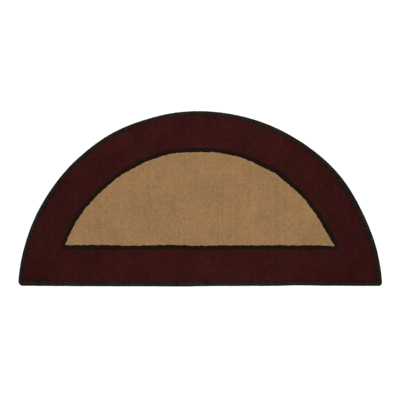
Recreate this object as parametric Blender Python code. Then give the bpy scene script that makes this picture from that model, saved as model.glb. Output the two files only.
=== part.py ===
"""A half-round hearth rug, lying flat: a hand-tufted cloth and the overcast binding round its edge.

Metres, +Z up. The rug lies on the plane Z = 0. X runs along its straight edge, which is on the -Y side,
and the origin is under the middle of its outline. Run it with blender --background --python part.py.
"""

import math

import bmesh
import bpy

INCH = 0.0254
MM = 0.001

# Outline: a circle of 46 inches across, cut straight a little short of its middle, with rounded corners.
CIRCLE_RADIUS = 23.0 * INCH
SET_BACK = 22.5 * MM
LEFT_CORNER = 14.0 * MM
RIGHT_CORNER = 10.0 * MM
TIGHTEST_CORNER = 2.0 * MM

# Widths are drawn in from the outline, and heights are above the floor.
# The overcast binding, which is wrapped over and under the cloth's hem.
BINDING_WIDTH = 15.0 * MM
BINDING_HEIGHT = 9.0 * MM
CREST_INSET = 6.8 * MM
NOSE_HEIGHT = 4.0 * MM
INNER_SIDE_TOP = 6.6 * MM
FOOT_WIDTH = 13.0 * MM
FOOT_ROUNDING = 3.0 * MM
LOWER_WRAP = 1.4 * MM
GAP = 0.3 * MM

# The tufted cloth: a base cloth with a dense cut pile, and a turned-in hem without pile.
PILE_TOP = 12.0 * MM
SHOULDER = 4.0 * MM
HEM_UNDERSIDE = LOWER_WRAP + GAP
HEM_TOP = 5.2 * MM
HEM_INSET = 3.4 * MM
HEM_BULGE = 0.5 * MM

STRAIGHT_STEPS = 24
ARC_STEPS = 72
CORNER_STEPS = 5
ROUNDING_STEPS = 4
SHARP_ANGLE = math.radians(40.0)

# How far the hand-made edge strays outwards from the true outline.
# Round the circle, by the angle at its centre, from the right-hand end.
ARC_WANDER = (
    # angle, mm
    (5.0, 0.9),
    (11.0, 0.3),
    (25.0, -1.8),
    (41.0, 2.1),
    (60.0, -0.6),
    (79.0, -1.0),
    (98.0, 0.6),
    (106.0, -0.2),
    (119.0, 1.7),
    (132.0, -0.2),
    (146.0, -1.2),
    (162.0, -0.4),
    (175.0, 1.3),
)
# Along the straight edge, by the place across the rug.
STRAIGHT_WANDER = (
    # mm across, mm
    (-560.0, -0.8),
    (-450.0, -0.1),
    (-350.0, 0.5),
    (-160.0, 0.9),
    (-65.0, 1.4),
    (35.0, 0.0),
    (225.0, -0.5),
    (320.0, -2.3),
    (420.0, -0.9),
    (560.0, -0.5),
)

COLOURS = {
    # material: linear colour, roughness
    "burgundy_pile": ((0.045, 0.0085, 0.0080), 0.95),
    "black_overcast_yarn": ((0.017, 0.014, 0.011), 0.85),
}


def wander(table, place):
    """How far the edge strays at a place, in metres, eased from one row of the table to the next.

    Past either end of the table it stays as in that end's row.
    """
    low, high = table[0], table[-1]
    for row, following in zip(table, table[1:]):
        if row[0] <= place <= following[0]:
            low, high = row, following
            break
    share = (place - low[0]) / (high[0] - low[0])
    share = min(max(share, 0.0), 1.0)
    eased = share * share * (3.0 - 2.0 * share)
    return (low[1] + (high[1] - low[1]) * eased) * MM


def corner(side, corner_radius, inset):
    """The centre (x, y) and radius of a corner: side is 1 for the right-hand one and -1 for the left.

    Where the inset is larger than the corner's radius, the corner keeps a small radius of its own.
    """
    at_arc = wander(ARC_WANDER, 0.0 if side > 0 else 180.0)
    at_straight = wander(STRAIGHT_WANDER, side * CIRCLE_RADIUS / MM)
    radius = max(corner_radius - inset, TIGHTEST_CORNER)
    centre_y = SET_BACK + inset - at_straight + radius
    centre_x = math.sqrt((CIRCLE_RADIUS - inset + at_arc - radius) ** 2 - centre_y**2)
    return side * centre_x, centre_y, radius


def turn(centre_x, centre_y, radius, start, end):
    """Points round a corner from one angle to another, without the last."""
    angles = [start + (end - start) * step / CORNER_STEPS for step in range(CORNER_STEPS)]
    return [(centre_x + radius * math.cos(angle), centre_y + radius * math.sin(angle)) for angle in angles]


def outline(inset):
    """The rug's outline, drawn in by a distance, as (x, y) points that run anticlockwise.

    The centre of the circle is at (0, 0) here. Every inset gives the same number of points, so that
    rings of different insets can be joined.
    """
    left_x, left_y, left_radius = corner(-1, LEFT_CORNER, inset)
    right_x, right_y, right_radius = corner(1, RIGHT_CORNER, inset)
    right_meets = math.atan2(right_y, right_x)
    left_meets = math.atan2(left_y, left_x)

    points = []
    for step in range(STRAIGHT_STEPS):
        x = left_x + (right_x - left_x) * step / STRAIGHT_STEPS
        points.append((x, SET_BACK + inset - wander(STRAIGHT_WANDER, x / MM)))
    points += turn(right_x, right_y, right_radius, -math.pi / 2.0, right_meets)
    for step in range(ARC_STEPS):
        angle = right_meets + (left_meets - right_meets) * step / ARC_STEPS
        reach = CIRCLE_RADIUS - inset + wander(ARC_WANDER, math.degrees(angle))
        points.append((reach * math.cos(angle), reach * math.sin(angle)))
    points += turn(left_x, left_y, left_radius, left_meets, 1.5 * math.pi)
    return points


def rounding(start, end, level_first):
    """Steps from one (inset, height) to another on a quarter of an ellipse, without the first.

    It sets off level and arrives upright, or the other way about.
    """
    steps = []
    for step in range(1, ROUNDING_STEPS + 1):
        turn = math.pi / 2.0 * step / ROUNDING_STEPS
        fast, slow = math.sin(turn), 1.0 - math.cos(turn)
        along, up = (fast, slow) if level_first else (slow, fast)
        steps.append((start[0] + (end[0] - start[0]) * along, start[1] + (end[1] - start[1]) * up))
    return steps


def cloth_section():
    """(inset, height) up the cloth's rim, from the edge of its flat underside to the top of the pile."""
    hem_middle = (HEM_UNDERSIDE + HEM_TOP) / 2.0
    pile_inset = BINDING_WIDTH + GAP
    shoulder = (pile_inset, PILE_TOP - SHOULDER)
    return [
        (FOOT_WIDTH + GAP, 0.0),
        (FOOT_WIDTH + GAP, HEM_UNDERSIDE),
        (HEM_INSET, HEM_UNDERSIDE),
        (HEM_INSET - HEM_BULGE, hem_middle),
        (HEM_INSET, HEM_TOP),
        (pile_inset, HEM_TOP),
        shoulder,
        *rounding(shoulder, (pile_inset + SHOULDER, PILE_TOP), level_first=False),
    ]


def binding_section():
    """(inset, height) round the binding: outwards along its foot, over the crest, and back round the hem."""
    hem_middle = (HEM_UNDERSIDE + HEM_TOP) / 2.0
    foot_edge = (FOOT_ROUNDING, 0.0)
    nose = (0.0, NOSE_HEIGHT)
    crest = (CREST_INSET, BINDING_HEIGHT)
    inner_side = (BINDING_WIDTH, INNER_SIDE_TOP)
    return [
        (FOOT_WIDTH, 0.0),
        foot_edge,
        *rounding(foot_edge, nose, level_first=True),
        *rounding(nose, crest, level_first=False),
        *rounding(crest, inner_side, level_first=True),
        (BINDING_WIDTH, HEM_TOP + GAP),
        (HEM_INSET, HEM_TOP + GAP),
        (HEM_INSET - HEM_BULGE - GAP, hem_middle),
        (HEM_INSET, LOWER_WRAP),
        (FOOT_WIDTH, LOWER_WRAP),
    ]


def origin_shift():
    """What moves the middle of the outline's box to X = 0, Y = 0."""
    points = outline(0.0)
    xs = [x for x, _ in points]
    ys = [y for _, y in points]
    return -(min(xs) + max(xs)) / 2.0, -(min(ys) + max(ys)) / 2.0


def loft(name, section, closed, material, collection):
    """A solid through one ring of the outline for each step of a section.

    A closed section makes a ring, and an open one is filled at its first and last steps. The rug's
    corners are tighter than the section is wide, so a profile swept round them would fold over itself.
    """
    shift_x, shift_y = origin_shift()
    shape = bmesh.new()
    rings = []
    for inset, height in section:
        ring = [shape.verts.new((x + shift_x, y + shift_y, height)) for x, y in outline(inset)]
        rings.append(ring)
    followers = rings[1:] + ([rings[0]] if closed else [])
    for ring, following in zip(rings, followers):
        count = len(ring)
        for i in range(count):
            j = (i + 1) % count
            shape.faces.new((ring[i], ring[j], following[j], following[i]))
    if not closed:
        shape.faces.new(rings[0])
        shape.faces.new(rings[-1])
    bmesh.ops.recalc_face_normals(shape, faces=shape.faces)
    mesh = bpy.data.meshes.new(name)
    shape.to_mesh(mesh)
    shape.free()
    mesh.shade_smooth()
    mesh.set_sharp_from_angle(angle=SHARP_ANGLE)
    mesh.materials.append(material)
    piece = bpy.data.objects.new(name, mesh)
    collection.objects.link(piece)
    return piece


def yarn(name):
    """A dull yarn of one colour."""
    colour, roughness = COLOURS[name]
    material = bpy.data.materials.new(name)
    material.use_nodes = True
    finish = material.node_tree.nodes["Principled BSDF"]
    finish.inputs["Base Color"].default_value = (*colour, 1.0)
    finish.inputs["Roughness"].default_value = roughness
    finish.inputs["Metallic"].default_value = 0.0
    material.diffuse_color = (*colour, 1.0)
    return material


def main():
    for startup in list(bpy.data.objects):
        bpy.data.objects.remove(startup, do_unlink=True)
    collection = bpy.data.collections.new("hearth_rug")
    bpy.context.scene.collection.children.link(collection)
    loft("tufted_cloth", cloth_section(), False, yarn("burgundy_pile"), collection)
    loft("edge_binding", binding_section(), True, yarn("black_overcast_yarn"), collection)


main()
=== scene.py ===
# %% [markdown]
# # A half-round hearth rug, tuft by tuft
#
# The rug is a hand-tufted cloth. Wool yarn is punched through a base cloth in close rows and then cut level,
# so what shows from above is the cut ends of some thirty thousand tufts. A black yarn is wrapped round the
# edge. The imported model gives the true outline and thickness, and everything here is built to it, in metres,
# with the floor at Z = 0.

# %% Load the frame
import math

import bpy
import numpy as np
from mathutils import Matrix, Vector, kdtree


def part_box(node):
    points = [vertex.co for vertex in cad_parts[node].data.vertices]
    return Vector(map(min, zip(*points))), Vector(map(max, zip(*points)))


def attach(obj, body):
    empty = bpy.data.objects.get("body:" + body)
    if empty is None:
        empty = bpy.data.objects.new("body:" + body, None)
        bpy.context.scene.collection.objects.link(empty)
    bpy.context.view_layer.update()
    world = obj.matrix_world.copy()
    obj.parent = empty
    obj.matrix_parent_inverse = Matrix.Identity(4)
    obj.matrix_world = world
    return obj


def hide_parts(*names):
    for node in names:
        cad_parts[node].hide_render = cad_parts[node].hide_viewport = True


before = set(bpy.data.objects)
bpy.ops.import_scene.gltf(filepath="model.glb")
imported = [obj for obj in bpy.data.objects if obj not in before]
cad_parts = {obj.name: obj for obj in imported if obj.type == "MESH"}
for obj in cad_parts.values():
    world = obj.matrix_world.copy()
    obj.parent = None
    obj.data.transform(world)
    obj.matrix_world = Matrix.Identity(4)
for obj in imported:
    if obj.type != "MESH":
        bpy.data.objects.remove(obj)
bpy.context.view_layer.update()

# %% [markdown]
# ## First measures
#
# The model has two solids: the tufted cloth, and the binding that goes round it. Their boxes give the size of
# the rug and the height of its pile.

MM = 0.001
edge_low, edge_high = (np.array(corner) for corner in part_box("edge_binding"))
PILE_TOP = np.array(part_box("tufted_cloth"))[1, 2]
print("rug", np.round((edge_high - edge_low) / MM, 1), "mm, pile up to", round(PILE_TOP / MM, 1), "mm")

# %% [markdown]
# ## One kind of figure, used three times
#
# The rug's edge, the pile's edge beside the binding, and the edge of the tan field are the same kind of
# figure: a circle that is cut straight a little short of its middle, with two corners. A maker draws it on
# the cloth with a string and a rule, and the work then strays from the line by a millimetre or two. So each
# figure is a few sizes and two short tables of straying, and one function draws it at any distance in from
# its edge.

# %% The rug's figure
RUG_ARC = (
    # angle, mm outwards
    (5, 0.9),
    (11, 0.3),
    (25, -1.9),
    (41, 2.2),
    (60, -0.5),
    (79, -0.7),
    (98, 0.8),
    (106, 0.1),
    (119, 2.2),
    (132, 0.4),
    (146, -0.6),
    (162, 0.0),
    (175, 1.5),
)
RUG_STRAIGHT = (
    # mm across, mm outwards
    (-560, -0.8),
    (-450, -0.1),
    (-350, 0.5),
    (-160, 0.9),
    (-65, 1.4),
    (35, 0.0),
    (225, -0.5),
    (320, -2.3),
    (420, -0.9),
    (560, -0.5),
)
RUG = {
    "centre": (0.0, 0.0),
    "radius": 584.2 * MM,
    "set_back": 22.5 * MM,
    "corners": {-1: 14.0 * MM, 1: 10.0 * MM},
    "ripple": 0.0,
    "arc_strays": RUG_ARC,
    "straight_strays": RUG_STRAIGHT,
}

# %% [markdown]
# The pile ends fifteen millimetres in, where the binding begins. The binding was wrapped a little wider in
# some places than in others, so the pile's edge strays more than the rug's.

# %% The pile's figure
BINDING_WIDTH = 15.3 * MM
PILE_ARC = (
    # angle, mm outwards
    (7, -0.2),
    (12, 1.7),
    (18, -0.9),
    (27, -3.9),
    (37, -2.3),
    (43, 0.0),
    (49, 0.7),
    (57, -1.0),
    (65, -2.7),
    (73, -0.4),
    (82, 1.3),
    (92, -0.1),
    (98, 0.9),
    (103, 3.8),
    (108, 2.2),
    (122, 2.8),
    (131, 0.1),
    (141, 0.8),
    (147, -2.2),
    (154, -0.8),
    (163, 0.1),
    (168, -0.5),
    (173, 2.6),
)
PILE_STRAIGHT = (
    # mm across, mm outwards
    (-530, -4.8),
    (-440, -2.1),
    (-400, -1.5),
    (-325, 0.9),
    (-280, -0.9),
    (-200, 0.8),
    (-120, 2.1),
    (-45, 0.6),
    (0, -1.9),
    (80, 0.2),
    (160, -1.3),
    (200, -0.7),
    (300, -2.3),
    (360, -3.7),
    (400, -1.5),
    (480, -1.2),
    (530, 0.0),
)
PILE = {
    "radius": RUG["radius"] - BINDING_WIDTH,
    "set_back": RUG["set_back"] + BINDING_WIDTH,
    "corners": {-1: 5.0 * MM, 1: 3.0 * MM},
    "ripple": 0.6 * MM,
    "arc_strays": PILE_ARC,
    "straight_strays": PILE_STRAIGHT,
}

# %% [markdown]
# The field's figure is smaller. Its sharp corners were tufted a little past the circle, as the tables say
# near their ends, and its edge steps in and out by a tuft here and there, which is the ripple.

# %% The field's figure
FIELD_ARC = (
    # angle, mm outwards
    (18.5, 11.0),
    (20.5, 6.1),
    (23, 2.9),
    (28, -0.5),
    (38, -0.9),
    (42, 0.6),
    (47, -0.9),
    (52.5, -0.8),
    (57, 2.2),
    (63, -0.7),
    (73, 2.2),
    (79, 0.5),
    (83, 1.7),
    (87, -1.3),
    (91.5, -1.4),
    (103, 2.2),
    (108.5, 0.4),
    (113, 0.5),
    (116, -1.3),
    (125, -0.1),
    (128.5, -2.0),
    (139, -0.8),
    (144, 0.9),
    (150, 2.4),
    (154, 1.7),
    (157.5, 3.2),
    (160.5, 2.9),
    (162, 5.6),
)
FIELD_STRAIGHT = (
    # mm across, mm outwards
    (-430, 0.2),
    (-350, -1.1),
    (-285, -0.4),
    (-225, 1.6),
    (-100, -1.0),
    (0, 1.8),
    (75, 0.4),
    (210, 0.5),
    (250, 0.0),
    (300, 0.8),
    (350, 0.3),
    (400, 0.8),
    (435, 3.6),
)
FIELD = {
    "radius": 452.2 * MM,
    "set_back": 152.6 * MM,
    "corners": {-1: 1.5 * MM, 1: 1.5 * MM},
    "ripple": 0.4 * MM,
    "arc_strays": FIELD_ARC,
    "straight_strays": FIELD_STRAIGHT,
}

# %% [markdown]
# A line of black yarn, four rows wide, runs round the field. Its outer edge is a figure too, drawn at the
# line's width from the field's, and its rows strayed on their own: the line is two millimetres wider along
# parts of the straight edge, and narrower at the two sharp corners.

# %% The line's figure
LINE_ROWS = 4
LINE_WIDTH = 13.6 * MM
LINE_ARC = (
    # angle, mm outwards
    (17.5, 1.5),
    (20, 7.5),
    (23, 3.8),
    (28, -1.4),
    (32, 0.2),
    (36, -1.6),
    (41, 0.4),
    (45, -0.4),
    (48, 0.1),
    (53, 2.0),
    (58, 3.6),
    (65.5, -0.1),
    (70.5, 3.3),
    (74, 1.6),
    (82, 0.4),
    (87.5, 0.8),
    (91, -0.7),
    (98, -1.0),
    (103, 2.4),
    (106, 0.6),
    (114, -0.5),
    (126, -1.4),
    (138, -2.2),
    (143, 1.4),
    (148, 1.1),
    (154, 2.4),
    (160, 1.5),
    (163, -2.6),
)
LINE_STRAIGHT = (
    # mm across, mm outwards
    (-440, 1.8),
    (-400, 0.8),
    (-360, 2.7),
    (-300, 0.8),
    (-255, 2.4),
    (-190, 1.1),
    (-140, 1.2),
    (-102, -0.9),
    (-70, 0.3),
    (0, 2.2),
    (85, 2.0),
    (125, 0.2),
    (200, -0.1),
    (290, 0.9),
    (340, 1.1),
    (380, 0.3),
    (440, 2.8),
)
LINE = {
    "radius": FIELD["radius"] + LINE_WIDTH,
    "set_back": FIELD["set_back"] - LINE_WIDTH,
    "corners": {-1: 3.0 * MM, 1: 3.0 * MM},
    "ripple": 0.4 * MM,
    "arc_strays": LINE_ARC,
    "straight_strays": LINE_STRAIGHT,
}

# %% [markdown]
# ## Reading the tables
#
# A cubic ease between two rows keeps the line free of kinks, and NumPy reads thousands of places at once.
# The ripple is a sum of three waves whose lengths have no common measure, so that it never seems to repeat.

# %% How far an edge strays
RIPPLE_WAVES = (
    # length in mm, phase
    (19.0, 0.4),
    (27.0, 2.6),
    (43.0, 5.1),
)


def eased(table, place):
    """The second column, in metres, at each place of the first. It stays flat past either end."""
    rows = np.array(table)
    place = np.clip(place, rows[0, 0], rows[-1, 0])
    row = np.clip(np.searchsorted(rows[:, 0], place, side="right") - 1, 0, len(rows) - 2)
    share = (place - rows[row, 0]) / (rows[row + 1, 0] - rows[row, 0])
    share = share * share * (3.0 - 2.0 * share)
    return (rows[row, 1] + (rows[row + 1, 1] - rows[row, 1]) * share) * MM


def ripple(figure, along):
    """The small steps in and out of a tufted edge, at a distance along it."""
    waves = sum(np.sin(2.0 * math.pi * along / (length * MM) + phase) for length, phase in RIPPLE_WAVES)
    return figure["ripple"] * waves


def arc_stray(figure, angle):
    """How far the arc lies outside its circle, at an angle from the circle's centre."""
    return eased(figure["arc_strays"], np.degrees(angle)) + ripple(figure, angle * figure["radius"])


def straight_stray(figure, x):
    """How far the straight edge lies outside its line, at a place across the rug."""
    return eased(figure["straight_strays"], x / MM) + ripple(figure, x)


# %% [markdown]
# ## Walking along an edge
#
# Rows of tufts and turns of yarn both follow the edge at even steps. Four stretches follow on each other:
# the straight edge, the right corner, the arc and the left corner. `steps_at` says on which stretch a share
# of the way round falls, and how far along it. `walk` gives those places for any distance in from the edge,
# with the angle that points outwards. Where that distance uses up a corner's radius, a small one is kept, so
# rows never cross there.

# %% Corners and stretches
TIGHTEST_CORNER = 1.5 * MM
STRAIGHT, RIGHT_CORNER, ARC, LEFT_CORNER = range(4)


def corner_of(figure, side, inset):
    """The centre, the radius and the arc's angle of a corner: side is 1 on the right and -1 on the left."""
    at_arc = eased(figure["arc_strays"], 0.0 if side > 0 else 180.0)
    at_straight = eased(figure["straight_strays"], side * figure["radius"] / MM)
    radius = max(figure["corners"][side] - inset, TIGHTEST_CORNER)
    y = figure["set_back"] + inset - at_straight + radius
    x = side * math.sqrt((figure["radius"] - inset + at_arc - radius) ** 2 - y**2)
    return x, y, radius, math.atan2(y, x)


def stretch_lengths(figure, inset):
    """The lengths of the straight edge, the right corner, the arc and the left corner."""
    left_x, _, left_radius, left_angle = corner_of(figure, -1, inset)
    right_x, _, right_radius, right_angle = corner_of(figure, 1, inset)
    straight = right_x - left_x
    right = right_radius * (right_angle + math.pi / 2.0)
    arc = (figure["radius"] - inset) * (left_angle - right_angle)
    left = left_radius * (1.5 * math.pi - left_angle)
    return np.array([straight, right, arc, left])


def steps_at(figure, share, inset):
    """The stretch, and the part of it, at shares of the way round from 0 to 1, as measured at an inset."""
    lengths = stretch_lengths(figure, inset)
    ends = np.cumsum(lengths)
    along = np.mod(share, 1.0) * ends[-1]
    stretch = np.minimum(np.searchsorted(ends, along, side="right"), LEFT_CORNER)
    return stretch, 1.0 - (ends[stretch] - along) / lengths[stretch]


def walk(figure, steps, inset):
    """(x, y, outward angle) of places on a figure's edge, drawn in by an inset."""
    stretch, part = steps
    left_x, left_y, left_radius, left_angle = corner_of(figure, -1, inset)
    right_x, right_y, right_radius, right_angle = corner_of(figure, 1, inset)

    x = left_x + (right_x - left_x) * part
    y = figure["set_back"] + inset - straight_stray(figure, x)
    out = np.full_like(x, -math.pi / 2.0)
    for number, centre_x, centre_y, radius, start, end in (
        (RIGHT_CORNER, right_x, right_y, right_radius, -math.pi / 2.0, right_angle),
        (ARC, 0.0, 0.0, figure["radius"] - inset, right_angle, left_angle),
        (LEFT_CORNER, left_x, left_y, left_radius, left_angle, 1.5 * math.pi),
    ):
        angle = start + (end - start) * part
        reach = np.full_like(x, radius)
        if number == ARC:
            reach += arc_stray(figure, angle)
        here = stretch == number
        x = np.where(here, centre_x + reach * np.cos(angle), x)
        y = np.where(here, centre_y + reach * np.sin(angle), y)
        out = np.where(here, angle, out)
    return x + figure["centre"][0], y + figure["centre"][1], out


# %% [markdown]
# The rug is first drawn round (0, 0), and then the middle of that outline's box is laid on the middle of the
# model's box. The field was drawn with its centre a few millimetres off.

# %% The centres of the two circles
FIELD_OFF_CENTRE = np.array([-4.5, 1.3]) * MM
OUTLINE_POINTS = 4000


def outline_of(figure):
    """A figure's outline as many close points, the last of them on the first."""
    return walk(figure, steps_at(figure, np.linspace(0.0, 1.0, OUTLINE_POINTS), 0.0), 0.0)[:2]


trial_x, trial_y = outline_of(RUG)
trial_middle = np.array([trial_x.min() + trial_x.max(), trial_y.min() + trial_y.max()]) / 2.0
RUG["centre"] = (edge_low[:2] + edge_high[:2]) / 2.0 - trial_middle
PILE["centre"] = RUG["centre"]
FIELD["centre"] = RUG["centre"] + FIELD_OFF_CENTRE
LINE["centre"] = FIELD["centre"]
print("centre of the rug's circle", np.round(RUG["centre"] / MM, 2), "mm")


# %% [markdown]
# ## How deep inside an edge
#
# To give each tuft its yarn, we ask how far it lies inside the pile's, the line's or the field's edge: the
# smaller of its distances from the arc and from the straight edge, or near a corner, its distance from the
# corner's own small circle. Outside the edge the depth is negative.

# %% Depth inside a figure
def depth_in(figure, points):
    """The distance in from a figure's edge to each point, by its x and y."""
    x = points[..., 0] - figure["centre"][0]
    y = points[..., 1] - figure["centre"][1]
    arc = figure["radius"] + arc_stray(figure, np.arctan2(y, x))
    straight = figure["set_back"] - straight_stray(figure, x)
    depth = np.minimum(arc - np.hypot(x, y), y - straight)
    for side in (-1, 1):
        corner_x, corner_y, radius, arc_angle = corner_of(figure, side, 0.0)
        arc_angle = arc_angle if side > 0 else math.pi - arc_angle
        away_x = side * (x - corner_x)
        away_y = y - corner_y
        angle_there = np.arctan2(away_y, away_x)
        in_corner = (angle_there > -math.pi / 2.0) & (angle_there < arc_angle)
        depth = np.where(in_corner, radius - np.hypot(away_x, away_y), depth)
    return depth


# %% [markdown]
# ## Where the tufts stand
#
# A tufter first runs a few rows along each drawn line, so that every colour has a clean edge, and then fills
# the rest with straight rows. We do the same. Four black rows make the line. One tan row runs inside it, one
# burgundy row outside it, and two burgundy rows along the binding. The fill rows run straight up from the
# straight edge and sway a little, each with its neighbours, so that no gap opens.
#
# The helpers return plain arrays: x, y, the way the tuft leans in x and in y, and its tone, which is how
# light its yarn is beside the others. A row came off one cone of yarn, so part of its tone is shared.

# %% Rows that follow an edge
ROW = 4.1 * MM
STITCH = 3.6 * MM
STITCH_JITTER = 0.08
STRAY = 0.35 * MM
ROW_TONE = 0.022
TUFT_TONE = 0.02

rng = np.random.default_rng(46)


def stitch_shares(count):
    """Shares of the way round for a row of stitches, nearly even, that starts anywhere."""
    return (np.arange(count) + rng.uniform() + rng.normal(0.0, STITCH_JITTER, count)) / count


def strayed(tufts):
    """Each tuft a little off its even place."""
    tufts[:, :2] += rng.normal(0.0, STRAY, (len(tufts), 2))
    return tufts


def one_row(x, y, lean_x, lean_y):
    tone = rng.normal(0.0, ROW_TONE) + rng.normal(0.0, TUFT_TONE, len(x))
    return np.column_stack([x, y, lean_x, lean_y, tone])


def rows_along(figure, insets, stitch, lean=0.0):
    """Tufts in rows that follow a figure's edge at these insets."""
    rows = []
    for inset in insets:
        count = round(stretch_lengths(figure, inset).sum() / stitch)
        x, y, out = walk(figure, steps_at(figure, stitch_shares(count), inset), inset)
        rows.append(one_row(x, y, lean * np.cos(out), lean * np.sin(out)))
    return strayed(np.concatenate(rows))


def rows_between(outer, inner, count, stitch):
    """Tufts in rows that share out the strip between two figures' edges evenly."""
    rows = []
    for row in range(count):
        share_in = (row + 0.5) / count
        stitches = round(stretch_lengths(outer, 0.0).sum() / stitch)
        steps = steps_at(outer, stitch_shares(stitches), 0.0)
        outer_x, outer_y, _ = walk(outer, steps, 0.0)
        inner_x, inner_y, _ = walk(inner, steps, 0.0)
        x = outer_x + (inner_x - outer_x) * share_in
        y = outer_y + (inner_y - outer_y) * share_in
        rows.append(one_row(x, y, 0.0 * x, 0.0 * x))
    return strayed(np.concatenate(rows))


# %% Straight rows that fill the rest
SWAY = 1.2 * MM
SWAY_LENGTH = 170.0 * MM
SWAY_SLANT = 0.6
ROW_STRAY = 0.15 * MM
ROW_LEAN = 0.2 * MM


def rows_across(low, high):
    """Tufts in straight rows from one corner of a box to the other."""
    across = np.arange(low[0], high[0], ROW)
    along = np.arange(low[1], high[1], STITCH)
    rows = len(across)
    sway = SWAY * np.sin(2.0 * math.pi * (along[None] + SWAY_SLANT * across[:, None]) / SWAY_LENGTH)
    x = across[:, None] + rng.normal(0.0, ROW_STRAY, (rows, 1)) + sway
    y = along[None] + rng.uniform(0.0, STITCH, (rows, 1)) + 0.0 * x
    lean = rng.normal(0.0, ROW_LEAN, (rows, 1)) + 0.0 * x
    tone = rng.normal(0.0, ROW_TONE, (rows, 1)) + rng.normal(0.0, TUFT_TONE, x.shape)
    return strayed(np.column_stack([part.ravel() for part in (x, y, 0.0 * x, lean, tone)]))


# %% [markdown]
# The fill covers the whole box of the rug first. What stands in the field is kept as tan, what stands between
# the line and the binding is kept as burgundy, and the rest, too close to a drawn row, is dropped.

# %% The rows of each yarn
FIRST_ROW = 1.8 * MM
CLEAR = 0.5 * ROW
RIM_ROWS = (1.2 * MM, 4.8 * MM)
RIM_LEAN = 1.0 * MM


def in_tan_fill(tufts):
    return depth_in(FIELD, tufts) > FIRST_ROW + CLEAR


def in_burgundy_fill(tufts):
    return (depth_in(LINE, tufts) < -FIRST_ROW - CLEAR) & (depth_in(PILE, tufts) > RIM_ROWS[-1] + CLEAR)


rim_rows = rows_along(PILE, RIM_ROWS, STITCH, lean=RIM_LEAN)
line_rows = rows_between(LINE, FIELD, LINE_ROWS, LINE_WIDTH / LINE_ROWS)
around_line = rows_along(LINE, [-FIRST_ROW], STITCH)
inside_line = rows_along(FIELD, [FIRST_ROW], STITCH)
fill = rows_across(edge_low, edge_high)
tufts_of_yarn = {
    "tan": [inside_line, fill[in_tan_fill(fill)]],
    "black": [line_rows],
    "burgundy": [rim_rows, around_line, fill[in_burgundy_fill(fill)]],
}
tufts = np.concatenate([rows for groups in tufts_of_yarn.values() for rows in groups])
yarn_of = np.concatenate([[yarn] * sum(map(len, groups)) for yarn, groups in tufts_of_yarn.items()])
print("tufts", {yarn: int(np.sum(yarn_of == yarn)) for yarn in tufts_of_yarn})

# %% [markdown]
# ## The tufts make room for each other
#
# Where rows of different directions meet, tufts stand too close or leave a hole. In a real pile the yarn ends
# push each other aside. So each fill tuft is pushed a few times away from its nearest neighbours where they
# stand too close, while the rows along the drawn lines stay put.

# %% Make room
EVEN_SPACING = 4.1 * MM
PUSH = 0.3
PUSHES = 5
NEIGHBOURS = 8


def steps_to_neighbours(places):
    """For each place, the steps to its nearest neighbours, and their lengths."""
    finder = kdtree.KDTree(len(places))
    for number, (x, y) in enumerate(places):
        finder.insert((x, y, 0.0), number)
    finder.balance()
    found = [finder.find_n((x, y, 0.0), NEIGHBOURS + 1) for x, y in places]
    near = np.array([[number for _, number, _ in neighbours[1:]] for neighbours in found])
    step = places[near] - places[:, None]
    return step, np.linalg.norm(step, axis=2)


free = in_tan_fill(tufts) | in_burgundy_fill(tufts)
for _ in range(PUSHES):
    step, distance = steps_to_neighbours(tufts[:, :2])
    too_close = np.clip(EVEN_SPACING / distance - 1.0, 0.0, 1.0)
    tufts[free, :2] -= PUSH * (step * too_close[:, :, None]).sum(axis=1)[free]
step, distance = steps_to_neighbours(tufts[:, :2])
print("nearest tuft, mm", np.round(np.percentile(distance[:, 0], [1, 50, 99]) / MM, 2))

# %% [markdown]
# The outermost rows stand in the open on one side, where more light reaches them, so their tone is raised.

# %% Light on the rim
RIM_LIGHT = 0.07
RIM_LIGHT_WIDTH = 14.0 * MM
to_rim = 1.0 - np.clip(depth_in(PILE, tufts) / RIM_LIGHT_WIDTH, 0.0, 1.0)
tufts[:, 4] += RIM_LIGHT * to_rim
print("tufts near the rim", int(np.sum(to_rim > 0.0)))

# %% [markdown]
# ## One tuft, thirty thousand times
#
# A tuft comes up through one hole of the base cloth, opens to its shoulder and ends where the shears cut it.
# So it is a point at the root, a wide ring at the shoulder, a smaller ring just under the top, and the top
# itself. Six sides are enough for a thing six millimetres wide. All tufts of a piece are one mesh, made from
# arrays: each tuft has the same two rings, drawn by its own numbers, and the faces repeat at a constant step.
# Hair would look finer very close up, but it is no mesh that can be exported.
#
# Cut yarn opens until its fibres mingle with those of its neighbours. So in each direction a shoulder reaches
# past halfway to its neighbour, and no hole is left between.

# %% How far each tuft reaches
SIDES = 6
SIDE_JITTER = 0.12
LEAST_FACING = 0.2
MINGLE = 1.5
REACH_JITTER = 0.08
LEAST_REACH, MOST_REACH = 1.6 * MM, 4.2 * MM

toward = step / distance[:, :, None]
side_angle = rng.uniform(0.0, 2.0 * math.pi, (len(tufts), 1)) + np.arange(SIDES) * 2.0 * math.pi / SIDES
side_angle += rng.normal(0.0, SIDE_JITTER, side_angle.shape)
sides = np.stack([np.cos(side_angle), np.sin(side_angle)], axis=2)
facing = np.maximum(np.einsum("tnd,tsd->tns", toward, sides), LEAST_FACING)
halfway = (distance[:, :, None] / 2.0 / facing).min(axis=1)
jitter = rng.uniform(1.0 - REACH_JITTER, 1.0 + REACH_JITTER, halfway.shape)
reach = np.clip(MINGLE * halfway * jitter, LEAST_REACH, MOST_REACH)
shoulders = np.concatenate([sides * reach[:, :, None], np.zeros((len(tufts), SIDES, 1))], axis=2)
print("reach of a tuft, mm", np.round(np.percentile(reach, [1, 50, 99]) / MM, 2))

# %% [markdown]
# The shears leave a level top that is not quite even, and near the binding the pile rounds down by a quarter
# of an ellipse. Each tuft also leans a little its own way.

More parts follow.
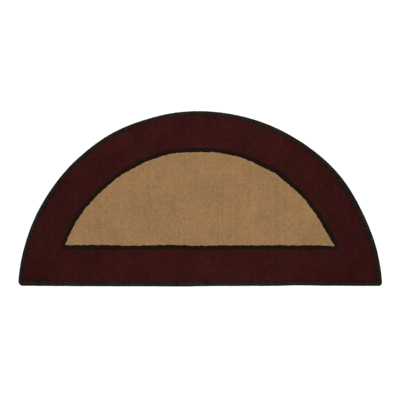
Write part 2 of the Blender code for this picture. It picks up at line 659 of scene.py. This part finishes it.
# %% The corners and faces of many tufts
ROOT = 2.4 * MM
CROWN = 0.55
MOST_CROWN_DROP = 0.24 * MM
SHOULDER_DROP = 0.8 * MM
DROP_JITTER = 0.3
TUFT_LEAN = 0.3 * MM
ROUNDING_WIDTH = 7.0 * MM
ROUNDING_DROP = 4.5 * MM
TRIM = 0.2 * MM
UNEVEN = 0.18 * MM
POINTS_IN_TUFT = 2 * SIDES + 2


def sheared_height(points):
    """The height of the pile at each point: level, and rounded down within a few mm of the binding."""
    inside = np.clip(depth_in(PILE, points) / ROUNDING_WIDTH, 0.0, 1.0)
    return PILE_TOP - TRIM - ROUNDING_DROP * (1.0 - np.sqrt(1.0 - (1.0 - inside) ** 2))


def tuft_points(tufts, ring):
    """The corners of these tufts: the shoulder's ring, the crown's ring, the top and the root."""
    count = len(tufts)
    root = np.column_stack([tufts[:, :2], np.full(count, ROOT)])[:, None]
    lean = np.column_stack([tufts[:, 2:4] + rng.normal(0.0, TUFT_LEAN, (count, 2)), np.zeros(count)])[:, None]
    top = root + lean
    shoulder = top + ring
    crown = top + ring * CROWN
    uneven = rng.normal(0.0, UNEVEN, (count, 1))
    for part, drop in (
        (shoulder, SHOULDER_DROP * rng.uniform(1.0 - DROP_JITTER, 1.0 + DROP_JITTER, (count, SIDES))),
        (crown, rng.uniform(0.0, MOST_CROWN_DROP, (count, SIDES))),
        (top, 0.0),
    ):
        part[:, :, 2] = sheared_height(part) + uneven - drop
    return np.concatenate([shoulder, crown, top, root], axis=1).reshape(-1, 3)


def tuft_faces(count):
    """The triangles of so many tufts, and which of them face up."""
    top, root = 2 * SIDES, 2 * SIDES + 1
    facing_up = []
    facing_down = []
    for side in range(SIDES):
        after = (side + 1) % SIDES
        crown, next_crown = SIDES + side, SIDES + after
        facing_up += [(side, after, next_crown), (side, next_crown, crown), (crown, next_crown, top)]
        facing_down.append((root, after, side))
    one = np.array(facing_up + facing_down)
    faces = one[None] + np.arange(count)[:, None, None] * POINTS_IN_TUFT
    return faces.reshape(-1, 3), np.tile(np.arange(len(one)) < len(facing_up), count)


# %% [markdown]
# ## From arrays to a piece
#
# `new_piece` makes the object, ties it to the rug's one rigid body and gives it its finishes. `map_from_above`
# adds a flat map, so that the finish can later be baked to a picture: the faces seen first lie in the lower
# half of the square, and those that they would cover lie in the upper half.

# %% New pieces
MAP_EDGE = 0.01


def put_in_scene(name, data):
    """A new object with this mesh, lamp or camera."""
    holder = bpy.data.objects.new(name, data)
    bpy.context.scene.collection.objects.link(holder)
    return holder


def new_piece(name, points, faces, materials):
    mesh = bpy.data.meshes.new(name)
    mesh.from_pydata(points, [], faces)
    mesh.shade_smooth()
    for material in materials:
        mesh.materials.append(material)
    piece = put_in_scene(name, mesh)
    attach(piece, "root")
    print(name, len(mesh.vertices), "points,", sum(len(face) - 2 for face in faces), "triangles")
    return piece


def map_from_above(piece, in_lower_half):
    mesh = piece.data
    corners = np.empty(len(mesh.loops), int)
    mesh.loops.foreach_get("vertex_index", corners)
    sizes = np.empty(len(mesh.polygons), int)
    mesh.polygons.foreach_get("loop_total", sizes)
    points = np.empty(len(mesh.vertices) * 3)
    mesh.vertices.foreach_get("co", points)
    plan = points.reshape(-1, 3)[corners, :2]
    plan = (plan - plan.min(axis=0)) / np.ptp(plan, axis=0)
    plan = plan * (1.0 - 2.0 * MAP_EDGE, 0.5 - 2.0 * MAP_EDGE) + MAP_EDGE
    plan[:, 1] += np.where(np.repeat(in_lower_half, sizes), 0.0, 0.5)
    flat_map = mesh.uv_layers.new(name="OFBake")
    flat_map.data.foreach_set("uv", plan.ravel())


def add_tone(piece, tone):
    """Stores a tone for each point, which a material can read."""
    stored = piece.data.attributes.new("tone", "FLOAT", "POINT")
    stored.data.foreach_set("value", tone)


# %% [markdown]
# ## Wool, in three colours
#
# Cut wool is dull and soft-edged: a rough surface with a little sheen, which is the light caught by fibre
# ends when the pile is seen at a slant. Its colour is never flat. Two dye shades drift into each other over
# a few centimetres, the pile is lighter or darker over a hand's breadth as it happens to lie, each tuft has
# its own tone, and the fibres in a tuft differ too. All of it is worked out from the place on the rug, with
# no picture.

# %% A finish, and patterns for it
NOISE_LOW, NOISE_HIGH = 0.3, 0.7


def new_finish(name, gloss):
    """A material, its node tree and its shader."""
    material = bpy.data.materials.new(name)
    material.use_nodes = True
    shader = material.node_tree.nodes["Principled BSDF"]
    shader.inputs["Specular IOR Level"].default_value = gloss
    return material, material.node_tree, shader


def place_on_rug(tree):
    """A point's own place in metres, which stays with the piece."""
    return tree.nodes.new("ShaderNodeTexCoord").outputs["Object"]


def noise(tree, size, detail=2.0):
    """A soft random pattern with features of this size in metres."""
    texture = tree.nodes.new("ShaderNodeTexNoise")
    texture.inputs["Scale"].default_value = 1.0 / size
    texture.inputs["Detail"].default_value = detail
    tree.links.new(place_on_rug(tree), texture.inputs["Vector"])
    return texture.outputs["Fac"]


def spread(tree, value, low, high):
    """Spreads the middle part of a pattern's range over low to high."""
    spreader = tree.nodes.new("ShaderNodeMapRange")
    spreader.inputs["From Min"].default_value = NOISE_LOW
    spreader.inputs["From Max"].default_value = NOISE_HIGH
    spreader.inputs["To Min"].default_value = low
    spreader.inputs["To Max"].default_value = high
    tree.links.new(value, spreader.inputs["Value"])
    return spreader.outputs["Result"]


def varied(tree, pattern, share):
    """A factor about 1 that goes up and down with a pattern by this share."""
    return spread(tree, pattern, 1.0 - share, 1.0 + share)


# %% Light, colour and relief
def times(tree, first, second):
    product = tree.nodes.new("ShaderNodeMath")
    product.operation = "MULTIPLY"
    tree.links.new(first, product.inputs[0])
    tree.links.new(second, product.inputs[1])
    return product.outputs["Value"]


def stored_tone(tree):
    """The tone that each point carries."""
    reader = tree.nodes.new("ShaderNodeAttribute")
    reader.attribute_name = "tone"
    return reader.outputs["Fac"]


def mixed(tree, share, first, second):
    mixer = tree.nodes.new("ShaderNodeMix")
    mixer.data_type = "RGBA"
    mixer.inputs["A"].default_value = (*first, 1.0)
    mixer.inputs["B"].default_value = (*second, 1.0)
    tree.links.new(share, mixer.inputs["Factor"])
    return mixer.outputs["Result"]


def lit(tree, colour, light):
    """A colour made lighter or darker by a factor."""
    scaler = tree.nodes.new("ShaderNodeVectorMath")
    scaler.operation = "SCALE"
    tree.links.new(colour, scaler.inputs[0])
    tree.links.new(light, scaler.inputs["Scale"])
    return scaler.outputs["Vector"]


def linear(red, green, blue):
    """A colour of a screen, from 0 to 255, as the linear values that a shader takes."""
    shares = [value / 255.0 for value in (red, green, blue)]
    return tuple(share / 12.92 if share < 0.04045 else ((share + 0.055) / 1.055) ** 2.4 for share in shares)


def bumped(tree, height, distance, normal=None):
    """A bump of this depth, over another one if that is given."""
    bump = tree.nodes.new("ShaderNodeBump")
    bump.inputs["Distance"].default_value = distance
    tree.links.new(height, bump.inputs["Height"])
    if normal:
        tree.links.new(normal, bump.inputs["Normal"])
    return bump.outputs["Normal"]


# %% The wool
DYE_DRIFT = 45.0 * MM
LIGHT_DRIFT = 110.0 * MM
FIBRE_BUNCH = 1.1 * MM
BUNCH_LIGHT = 0.16
FIBRE_END = 0.35 * MM
WOOL_GLOSS = 0.02
SHEEN_SOFTNESS = 0.6
WOOL_ROUGHNESS = (0.98, 0.86)


def wool(name, shade, other_shade, drift, clump_size, clump, fleck, sheen):
    """Wool of two shades.

    Its light varies by drift over a hand's breadth, by clump over its size, and by fleck from one fibre end
    to the next.
    """
    material, tree, shader = new_finish(name, WOOL_GLOSS)
    shader.inputs["Sheen Weight"].default_value = sheen
    shader.inputs["Sheen Roughness"].default_value = SHEEN_SOFTNESS
    shader.inputs["Sheen Tint"].default_value = (*other_shade, 1.0)

    dye = mixed(tree, spread(tree, noise(tree, DYE_DRIFT), 0.0, 1.0), shade, other_shade)
    bunches = noise(tree, FIBRE_BUNCH, detail=3.0)
    ends = noise(tree, FIBRE_END, detail=1.0)
    light = stored_tone(tree)
    for pattern, share in (
        (noise(tree, LIGHT_DRIFT), drift),
        (noise(tree, clump_size), clump),
        (bunches, BUNCH_LIGHT),
        (ends, fleck),
    ):
        light = times(tree, light, varied(tree, pattern, share))
    tree.links.new(lit(tree, dye, light), shader.inputs["Base Color"])
    tree.links.new(spread(tree, bunches, *WOOL_ROUGHNESS), shader.inputs["Roughness"])

    bunched = bumped(tree, bunches, FIBRE_BUNCH)
    tree.links.new(bumped(tree, ends, FIBRE_END, bunched), shader.inputs["Normal"])
    return material


WOOLS = {
    # yarn: shade, other shade, drift, clump size, clump, fleck, sheen
    "tan": (linear(141, 109.5, 75), linear(135, 104.5, 70), 0.06, 7.0 * MM, 0.12, 0.25, 0.15),
    "black": (linear(27, 17, 14), linear(24, 18, 14), 0.1, 7.0 * MM, 0.1, 0.2, 0.04),
    "burgundy": (linear(52, 17, 18.5), linear(47, 20, 16.5), 0.13, 15.0 * MM, 0.16, 0.2, 0.06),
}
wools = {yarn: wool(yarn + "_wool", *figures) for yarn, figures in WOOLS.items()}

# %% [markdown]
# ## The pile
#
# A piece keeps under two hundred thousand triangles, so the tan field is laid in two halves and the burgundy
# band in three parts, which meet tuft against tuft where nobody sees it. The tone of a point falls with its
# depth in the pile, because little light gets down between the tufts. It is also painted darker towards both
# ends of the rug and a little lighter in the middle, a painted shade and light, most of all in the dark red
# yarn.

# %% Lay the pile
ROOT_TONE = 0.45
END_SHADE_CURVE = 1.3
PARTS = {
    # yarn: names of its parts, from left to right
    "tan": ("field_pile_left", "field_pile_right"),
    "black": ("line_pile",),
    "burgundy": ("band_pile_left", "band_pile_middle", "band_pile_right"),
}
# painted light in the middle of the rug and painted shade at its ends, for each yarn
MIDDLE_PAINTED_LIGHT = {"tan": 1.01, "black": 0.98, "burgundy": 1.05}
END_PAINTED_SHADE = {"tan": 0.965, "black": 0.94, "burgundy": 0.8}
for yarn, names in PARTS.items():
    own = np.nonzero(yarn_of == yarn)[0]
    from_left = own[np.argsort(tufts[own, 0], kind="stable")]
    for name, share in zip(names, np.array_split(from_left, len(names))):
        points = tuft_points(tufts[share], shoulders[share])
        faces, on_dome = tuft_faces(len(share))
        part = new_piece(name, points, faces, [wools[yarn]])
        shaded = (sheared_height(points) - points[:, 2]) / (PILE_TOP - ROOT)
        in_light = np.clip(1.0 - shaded, 0.0, 1.0)
        # painted shade: each yarn's tone is made darker towards both ends of the rug and lighter in the middle
        end_shade_share = np.abs(points[:, 0] / edge_high[0]) ** END_SHADE_CURVE
        tone_and_painted_shade = np.repeat(1.0 + tufts[share, 4], POINTS_IN_TUFT)
        tone_and_painted_shade *= MIDDLE_PAINTED_LIGHT[yarn] + (END_PAINTED_SHADE[yarn] - MIDDLE_PAINTED_LIGHT[yarn]) * end_shade_share
        add_tone(part, tone_and_painted_shade * (ROOT_TONE + (1.0 - ROOT_TONE) * in_light))
        map_from_above(part, on_dome)
        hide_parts("tufted_cloth")

# %% [markdown]
# ## The base cloth
#
# Under the pile lies a strong plain-woven cloth, turned in along its edge to a hem of two layers that the
# binding yarn grips. From below it shows what every tufted cloth shows: the short flat back stitch of each
# tuft, in the colour of its yarn, set in a thin coat of latex, and round them the bare weave of the hem. The
# cloth is one closed sheet, lofted through rings that follow the figures. A simulation has nothing to do
# here, because the rug lies flat.

# %% Back stitches in latex
LATEX = linear(168, 158, 138)
LATEX_GLOSS = 0.3
LATEX_COAT = (0.15, 0.75)
LATEX_LIGHT = (0.88, 1.1)
LATEX_ROUGHNESS = (0.6, 0.8)
STITCH_DISORDER = 0.35
STITCH_RELIEF = 0.8 * MM


def back_stitches(name, shade):
    """Rows of small back stitches under a thin coat of latex."""
    material, tree, shader = new_finish(name, LATEX_GLOSS)
    grid = tree.nodes.new("ShaderNodeMapping")
    grid.inputs["Scale"].default_value = (1.0 / ROW, 1.0 / STITCH, 1.0)
    tree.links.new(place_on_rug(tree), grid.inputs["Vector"])
    stitch = tree.nodes.new("ShaderNodeTexVoronoi")
    stitch.inputs["Scale"].default_value = 1.0
    stitch.inputs["Randomness"].default_value = STITCH_DISORDER
    tree.links.new(grid.outputs["Vector"], stitch.inputs["Vector"])
    from_middle = stitch.outputs["Distance"]
    coated = mixed(tree, spread(tree, from_middle, *LATEX_COAT), shade, LATEX)
    light = spread(tree, noise(tree, DYE_DRIFT), *LATEX_LIGHT)
    tree.links.new(lit(tree, coated, light), shader.inputs["Base Color"])
    tree.links.new(spread(tree, noise(tree, ROW), *LATEX_ROUGHNESS), shader.inputs["Roughness"])
    relief = bumped(tree, from_middle, STITCH_RELIEF)
    relief.node.invert = True
    tree.links.new(relief, shader.inputs["Normal"])
    return material


# %% Plain weave
THREAD = 1.1 * MM
WEAVE_GLOSS = 0.2
OVER_PAINTED_LIGHT, UNDER_PAINTED_SHADE = 1.12, 0.82
WEAVE_LIGHT = (0.9, 1.08)
WEAVE_ROUGHNESS = (0.85, 0.95)
WEAVE_RELIEF = 0.3 * MM


def plain_weave(name, shade):
    """A plain weave, painted lighter where a thread lies on top and darker where it dips under: painted light
    and shade.
    """
    material, tree, shader = new_finish(name, WEAVE_GLOSS)
    weave = tree.nodes.new("ShaderNodeTexChecker")
    weave.inputs["Scale"].default_value = 1.0 / THREAD
    weave.inputs["Color1"].default_value = (*(value * OVER_PAINTED_LIGHT for value in shade), 1.0)
    weave.inputs["Color2"].default_value = (*(value * UNDER_PAINTED_SHADE for value in shade), 1.0)
    tree.links.new(place_on_rug(tree), weave.inputs["Vector"])
    light = spread(tree, noise(tree, ROW), *WEAVE_LIGHT)
    tree.links.new(lit(tree, weave.outputs["Color"], light), shader.inputs["Base Color"])
    tree.links.new(spread(tree, noise(tree, THREAD), *WEAVE_ROUGHNESS), shader.inputs["Roughness"])
    tree.links.new(bumped(tree, weave.outputs["Fac"], WEAVE_RELIEF), shader.inputs["Normal"])
    return material


# %% Finishes of the cloth
cloth_finishes = [
    plain_weave("hem_weave", linear(142, 130, 108)),
    back_stitches("burgundy_back", linear(96, 44, 42)),
    back_stitches("black_back", linear(52, 46, 42)),
    back_stitches("tan_back", linear(160, 130, 92)),
    # painted shade: the cloth under the pile and the binding is made near black for the shade there, though
    # the cloth itself is pale
    plain_weave("painted_shade_under_pile", linear(28, 16, 14)),
]
HEM_WEAVE, BURGUNDY_BACK, BLACK_BACK, TAN_BACK, SHADE_UNDER_PILE = range(len(cloth_finishes))

# %% [markdown]
# Each row of the table is one ring of the loft, and the finish of the strip that leads up to it. The rings
# run from the middle of the underside out to the hem, round its nose, and back in over the top.

# %% The cloth's rings
CLOTH_RINGS = (
    # figure, inset in mm, height in mm, finish of the strip before it
    (FIELD, 0.0, 0.0, TAN_BACK),
    (LINE, 0.0, 0.0, BLACK_BACK),
    (RUG, 34.0, 0.0, BURGUNDY_BACK),
    (RUG, 13.4, 0.0, HEM_WEAVE),
    (RUG, 13.3, 1.7, HEM_WEAVE),
    (RUG, 3.6, 1.7, HEM_WEAVE),
    (RUG, 2.9, 2.6, HEM_WEAVE),
    (RUG, 2.9, 4.2, HEM_WEAVE),
    (RUG, 3.6, 5.0, HEM_WEAVE),
    # the strips over the hem's top and under the pile take the painted shade
    (RUG, 15.6, 5.0, SHADE_UNDER_PILE),
    (RUG, 16.8, 3.4, SHADE_UNDER_PILE),
    (LINE, 0.0, 3.2, SHADE_UNDER_PILE),
)
RING_POINTS = {STRAIGHT: 60, RIGHT_CORNER: 8, ARC: 150, LEFT_CORNER: 8}

steps = (
    np.concatenate([np.full(count, stretch) for stretch, count in RING_POINTS.items()]),
    np.concatenate([np.arange(count) / count for count in RING_POINTS.values()]),
)
around = len(steps[0])
rings = []
for figure, inset, height, _ in CLOTH_RINGS:
    x, y, _ = walk(figure, steps, inset * MM)
    rings.append(np.column_stack([x, y, np.full(around, height * MM)]))
under_middle = rings[0].mean(axis=0)
over_middle = under_middle + (0.0, 0.0, CLOTH_RINGS[-1][2] * MM)
points = np.concatenate([*rings, [under_middle, over_middle]])
print(len(rings), "rings of", around, "points")

# %% [markdown]
# Two neighbouring rings are joined by four-sided faces. The first ring and the last are closed by triangles
# that meet in the middle, on the underside and under the pile.

# %% The base cloth
FACES_DOWN = -0.5

under, over = len(points) - 2, len(points) - 1
faces = []
finishes = []
for place in range(around):
    after = (place + 1) % around
    faces.append((under, after, place))
    finishes.append(CLOTH_RINGS[0][3])
    for ring in range(1, len(rings)):
        inner, outer = (ring - 1) * around, ring * around
        faces.append((inner + place, inner + after, outer + after, outer + place))
        finishes.append(CLOTH_RINGS[ring][3])
    last = (len(rings) - 1) * around
    faces.append((last + place, last + after, over))
    finishes.append(SHADE_UNDER_PILE)
base_cloth = new_piece("base_cloth", points, faces, cloth_finishes)
cloth_faces = base_cloth.data.polygons
cloth_faces.foreach_set("material_index", finishes)
normals = np.empty(len(faces) * 3)
cloth_faces.foreach_get("normal", normals)
map_from_above(base_cloth, normals.reshape(-1, 3)[:, 2] < FACES_DOWN)
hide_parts("tufted_cloth")

# %% [markdown]
# ## The overcast edge
#
# The hem is wrapped with a doubled black yarn that passes over the edge, under it, and back up through the
# cloth, about three millimetres further on each time. Each turn is its own bead of yarn, and the row of beads
# is what makes the edge look rounded and a little bumpy. So every turn is modelled: a closed tube on a
# C-shaped path, thick over the crest and pressed flat where it lies on the floor. Its colour is painted
# lighter over the crest and darker down its sides and where it dips into the crease beside the pile: painted
# light and shade. A single swept tube with a bump map would be smooth against the floor and the pile, just
# where the eye looks.

# %% The path of one turn of yarn
TURN_PATH = (
    # mm in from the edge, mm high, mm thick, painted light and shade
    (15.4, 5.6, 1.3, 0.5),
    (13.4, 7.0, 2.2, 0.75),
    (10.4, 7.45, 2.8, 0.9),
    (6.8, 7.45, 3.0, 1.1),
    (3.8, 6.7, 3.0, 0.98),
    (1.0, 5.3, 2.8, 0.86),
    (0.2, 3.7, 2.4, 0.82),
    (0.8, 2.1, 2.2, 0.9),
    (3.0, 0.95, 1.7, 0.9),
    (7.5, 0.75, 1.4, 0.9),
    (12.2, 0.75, 1.3, 0.8),
)
TURN = 3.1 * MM
MEASURED_AT = 1.0 * MM
TURN_JITTER = 0.07
TURN_STRAY = 0.16 * MM
THICKNESS_JITTER = 0.05

turns = round(stretch_lengths(RUG, MEASURED_AT).sum() / TURN)
turn_share = (np.arange(turns) + rng.normal(0.0, TURN_JITTER, turns)) / turns
turn_out = rng.normal(0.0, TURN_STRAY, turns)
turn_fat = rng.normal(1.0, THICKNESS_JITTER, turns)
print(turns, "turns of yarn round the edge")

# %% [markdown]
# The yarn advances by one turn's width as it goes round, which slants it a little. For each place on the path
# we find that place for all turns at once, and how far apart they are there: the turns spread round the
# outside of a corner and crowd together on its inside, so the yarn is drawn as wide as the space it has.
# Where the pile's edge lies further in or out than the binding's usual width, the top of the turn is drawn
# out to meet it.

# %% Wind the yarn round the edge
TURN_SIDES = 6
FATNESS = 1.12
LEAST_APART, MOST_APART = 0.25 * TURN, 1.3 * TURN
NOSE_HEIGHT = 4.0 * MM
OFF_FLOOR = 0.05 * MM
UP = np.array([0.0, 0.0, 1.0])

path = np.array(TURN_PATH)[:, :3] * MM
ahead = np.gradient(path[:, :2], axis=0)
ahead /= np.linalg.norm(ahead, axis=1, keepdims=True)
tubes = []
for number, (inset, height, thick) in enumerate(path):
    advance = number / (len(path) - 1) / turns
    steps = steps_at(RUG, turn_share + advance, MEASURED_AT)
    x, y, out = walk(RUG, steps, inset)
    outward = np.column_stack([np.cos(out), np.sin(out), 0.0 * out])
    along = np.column_stack([-np.sin(out), np.cos(out), 0.0 * out])
    place = np.column_stack([x, y, 0.0 * x + height]) + outward * turn_out[:, None]
    if height > NOSE_HEIGHT:
        even_x, even_y, _ = walk(RUG, steps, BINDING_WIDTH)
        pile_x, pile_y, _ = walk(PILE, steps, 0.0)
        wider = (even_x - pile_x) * outward[:, 0] + (even_y - pile_y) * outward[:, 1]
        place -= outward * (wider * (inset / BINDING_WIDTH) ** 2)[:, None]
    apart = np.linalg.norm(np.roll(place, -1, axis=0) - np.roll(place, 1, axis=0), axis=1) / 2.0
    half_wide = FATNESS * np.clip(apart, LEAST_APART, MOST_APART) / 2.0
    half_thick = thick / 2.0 * turn_fat
    away = -outward * ahead[number, 1] - UP * ahead[number, 0]
    for angle in np.arange(TURN_SIDES) * 2.0 * math.pi / TURN_SIDES:
        sideways = along * (half_wide * math.cos(angle))[:, None]
        upwards = away * (half_thick * math.sin(angle))[:, None]
        tubes.append(place + sideways + upwards)
points = np.stack(tubes, axis=1)
points[:, :, 2] = np.maximum(points[:, :, 2], OFF_FLOOR)
print("binding", round(points[:, :, 2].max() / MM, 1), "mm high")

# %% The faces of the turns
one_turn = []
for spot in range(len(path) - 1):
    for side in range(TURN_SIDES):
        here, after = spot * TURN_SIDES + side, spot * TURN_SIDES + (side + 1) % TURN_SIDES
        one_turn += [(here, after, after + TURN_SIDES), (here, after + TURN_SIDES, here + TURN_SIDES)]
last = (len(path) - 1) * TURN_SIDES
for side in range(1, TURN_SIDES - 1):
    one_turn += [(0, side + 1, side), (last, last + side, last + side + 1)]
faces = np.array(one_turn)[None] + np.arange(turns)[:, None, None] * len(path) * TURN_SIDES
print(len(one_turn), "triangles in a turn")

# %% [markdown]
# ## The binding yarn's finish
#
# Seen close, the yarn is three plies twisted together. The plies are far too thin to model on a thousand
# turns, so they are a bump, a wave that winds round the yarn. It needs to know how far round and how far
# along the yarn a point lies. Both are added up in a map of their own: three waves once round, and one wave
# for each pitch of the twist. The wave then closes on itself all round the yarn.
#
# Each turn has its own tone. The yarn is also lighter towards the middle of the rug, and it is painted lighter
# along the straight edge, whose outer side faces away from the lamp: painted light.

# %% Twisted plies
PLIES = 3
TWIST_PITCH = 4.5 * MM
TWIST_RELIEF = 0.35 * MM
WAVE_NODE_RATE = 20.0


def plied_yarn(name, *figures):
    """Wool whose plies show as a twist."""
    material = wool(name, *figures)
    tree = material.node_tree
    shader = tree.nodes["Principled BSDF"]
    fibres = shader.inputs["Normal"].links[0].from_socket
    phase = tree.nodes.new("ShaderNodeUVMap")
    phase.uv_map = "ply_twist"
    twist = tree.nodes.new("ShaderNodeTexWave")
    twist.inputs["Scale"].default_value = 2.0 * math.pi / WAVE_NODE_RATE
    tree.links.new(phase.outputs["UV"], twist.inputs["Vector"])
    tree.links.new(bumped(tree, twist.outputs["Fac"], TWIST_RELIEF, fibres), shader.inputs["Normal"])
    return material


BINDING_WOOL = (linear(35, 28, 23), linear(33, 28, 22), 0.06, 7.0 * MM, 0.1, 0.1, 0.05)
binding_yarn = plied_yarn("binding_yarn", *BINDING_WOOL)

# %% Make the binding
TURN_TONE = 0.2
STRAIGHT_PAINTED_LIGHT = 1.06
MIDDLE_LIGHTER = 0.2

points, faces = points.reshape(-1, 3), faces.reshape(-1, 3)
edge_turns = new_piece("edge_turns", points, faces, [binding_yarn])
# painted light and shade along each turn: lighter over the crest, darker in the crease and down the sides
path_light_and_shade = np.array(TURN_PATH)[:, 3]
turn_tone = 1.0 + rng.normal(0.0, TURN_TONE, turns)
steps = steps_at(RUG, turn_share, MEASURED_AT)
# painted light on the turns of the straight edge, which faces away from the lamp
turn_tone *= np.where(steps[0] == STRAIGHT, STRAIGHT_PAINTED_LIGHT, 1.0)
turn_x = walk(RUG, steps, 0.0)[0]
# the turns are made lighter towards the middle of the rug
turn_tone *= 1.0 + MIDDLE_LIGHTER * np.cos(math.pi / 2.0 * turn_x / edge_high[0]) ** 2
add_tone(edge_turns, np.repeat((turn_tone[:, None] * path_light_and_shade).ravel(), TURN_SIDES))
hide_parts("edge_binding")

# %% Where each corner lies on its turn
length = np.concatenate([[0.0], np.cumsum(np.linalg.norm(np.diff(path[:, :2], axis=0), axis=1))])
spot, side = np.divmod(np.array(one_turn), TURN_SIDES)
past_seam = (side == 0) & (side.max(axis=1, keepdims=True) == TURN_SIDES - 1)
share_round = (side + TURN_SIDES * past_seam) / TURN_SIDES

phase = PLIES * share_round + length[spot] / TWIST_PITCH
phases = np.tile(np.stack([phase, 0.0 * phase], axis=-1), (turns, 1, 1, 1))
twist_map = edge_turns.data.uv_layers.new(name="ply_twist")
twist_map.data.foreach_set("uv", phases.ravel())
print("a turn is", np.round(length[-1] / MM, 1), "mm of yarn")

# %% [markdown]
# The map for a baked picture can't be flat here, because most of the yarn faces sideways or down. So each
# turn is unrolled to a narrow strip, and the strips lie side by side in twelve rows. The two ends of a turn
# are drawn out a little beyond the strip, so that they too have room on the picture.

# %% The yarn's own map
MAP_ROWS = 12
END_ROOM = 0.04
MARGIN = 0.04
on_tube = 2 * TURN_SIDES * (len(path) - 1)
unrolled_x = share_round.copy()
unrolled_y = length[spot] / length[-1]
unrolled_x[on_tube:, 0] = side[on_tube:, 1:].mean(axis=1) / TURN_SIDES
unrolled_y[on_tube:, 0] += np.where(spot[on_tube:, 0] == 0, -END_ROOM, END_ROOM)
strip = np.stack([unrolled_x, (unrolled_y + END_ROOM) / (1.0 + 2.0 * END_ROOM)], axis=-1)

columns = math.ceil(turns / MAP_ROWS)
row, column = np.divmod(np.arange(turns), columns)
cell = np.column_stack([column, row])[:, None, None]
laid = (cell + MARGIN + (1.0 - 2.0 * MARGIN) * strip) / (columns, MAP_ROWS)
flat_map = edge_turns.data.uv_layers.new(name="OFBake")
flat_map.data.foreach_set("uv", laid.ravel())
edge_turns.data.uv_layers.active = flat_map
print(columns, "strips in each of", MAP_ROWS, "rows")

# %% [markdown]
# ## The rug's outline
#
# The base cloth is the rug's sheet, and the pile and the binding go with it. The rug lies flat. Here its
# outline is drawn once more as many close points.

outline_x, outline_y = outline_of(RUG)

# %% [markdown]
# ## Floor, light and camera
#
# The rug is shown from straight above on white. A matt white floor takes soft light from a high lamp and from
# all round, bright enough that the floor goes to plain white while dark wool keeps its colour. The lamp is a
# sun with a wide disc: it lights both ends of the rug alike, and its shadows are soft. It stands off to one
# side, so that tufts and yarn still have a light and a dark side. The Standard view shows colours as they
# were set.

# %% The floor
HALF_FLOOR = 30.0
FLOOR_CORNERS = [(x * HALF_FLOOR, y * HALF_FLOOR, 0.0) for x, y in ((-1, -1), (1, -1), (1, 1), (-1, 1))]
FLOOR_WHITE = (0.9, 0.9, 0.9, 1.0)
FLOOR_GLOSS = 0.5
FLOOR_ROUGHNESS = 0.9

floor_mesh = bpy.data.meshes.new("floor")
floor_mesh.from_pydata(FLOOR_CORNERS, [], [(0, 1, 2, 3)])
floor_paint, _, floor_shader = new_finish("floor_paint", FLOOR_GLOSS)
floor_shader.inputs["Base Color"].default_value = FLOOR_WHITE
floor_shader.inputs["Roughness"].default_value = FLOOR_ROUGHNESS
floor_mesh.materials.append(floor_paint)
floor = put_in_scene("floor", floor_mesh)
print("floor", 2.0 * HALF_FLOOR, "m across")

# %% The light
WHITE = (1.0, 1.0, 1.0, 1.0)
SKY_STRENGTH = 0.6
LAMP_ANGLE = math.radians(28.0)
LAMP_STRENGTH = 2.7
TO_LAMP = Vector((-0.25, 0.25, 1.0))

world = bpy.data.worlds.new("studio")
world.use_nodes = True
sky = world.node_tree.nodes["Background"]
sky.inputs["Color"].default_value = WHITE
sky.inputs["Strength"].default_value = SKY_STRENGTH
bpy.context.scene.world = world
bpy.context.scene.view_settings.view_transform = "Standard"

lamp = bpy.data.lights.new("high_lamp", "SUN")
lamp.angle = LAMP_ANGLE
lamp.energy = LAMP_STRENGTH
lamp_stand = put_in_scene("high_lamp", lamp)
lamp_stand.rotation_euler = TO_LAMP.to_track_quat("Z", "Y").to_euler()
print("lamp", round(math.degrees(TO_LAMP.angle(Vector(UP)))), "degrees off upright")

# %% The camera
LENS = 100.0
CAMERA_PLACE = (-0.55 * MM, -4.0 * MM, 3.578)

camera = bpy.data.cameras.new("camera")
camera.lens = LENS
camera_stand = put_in_scene("camera", camera)
camera_stand.location = CAMERA_PLACE
bpy.context.scene.camera = camera_stand
print("camera", CAMERA_PLACE[2], "m above the floor")
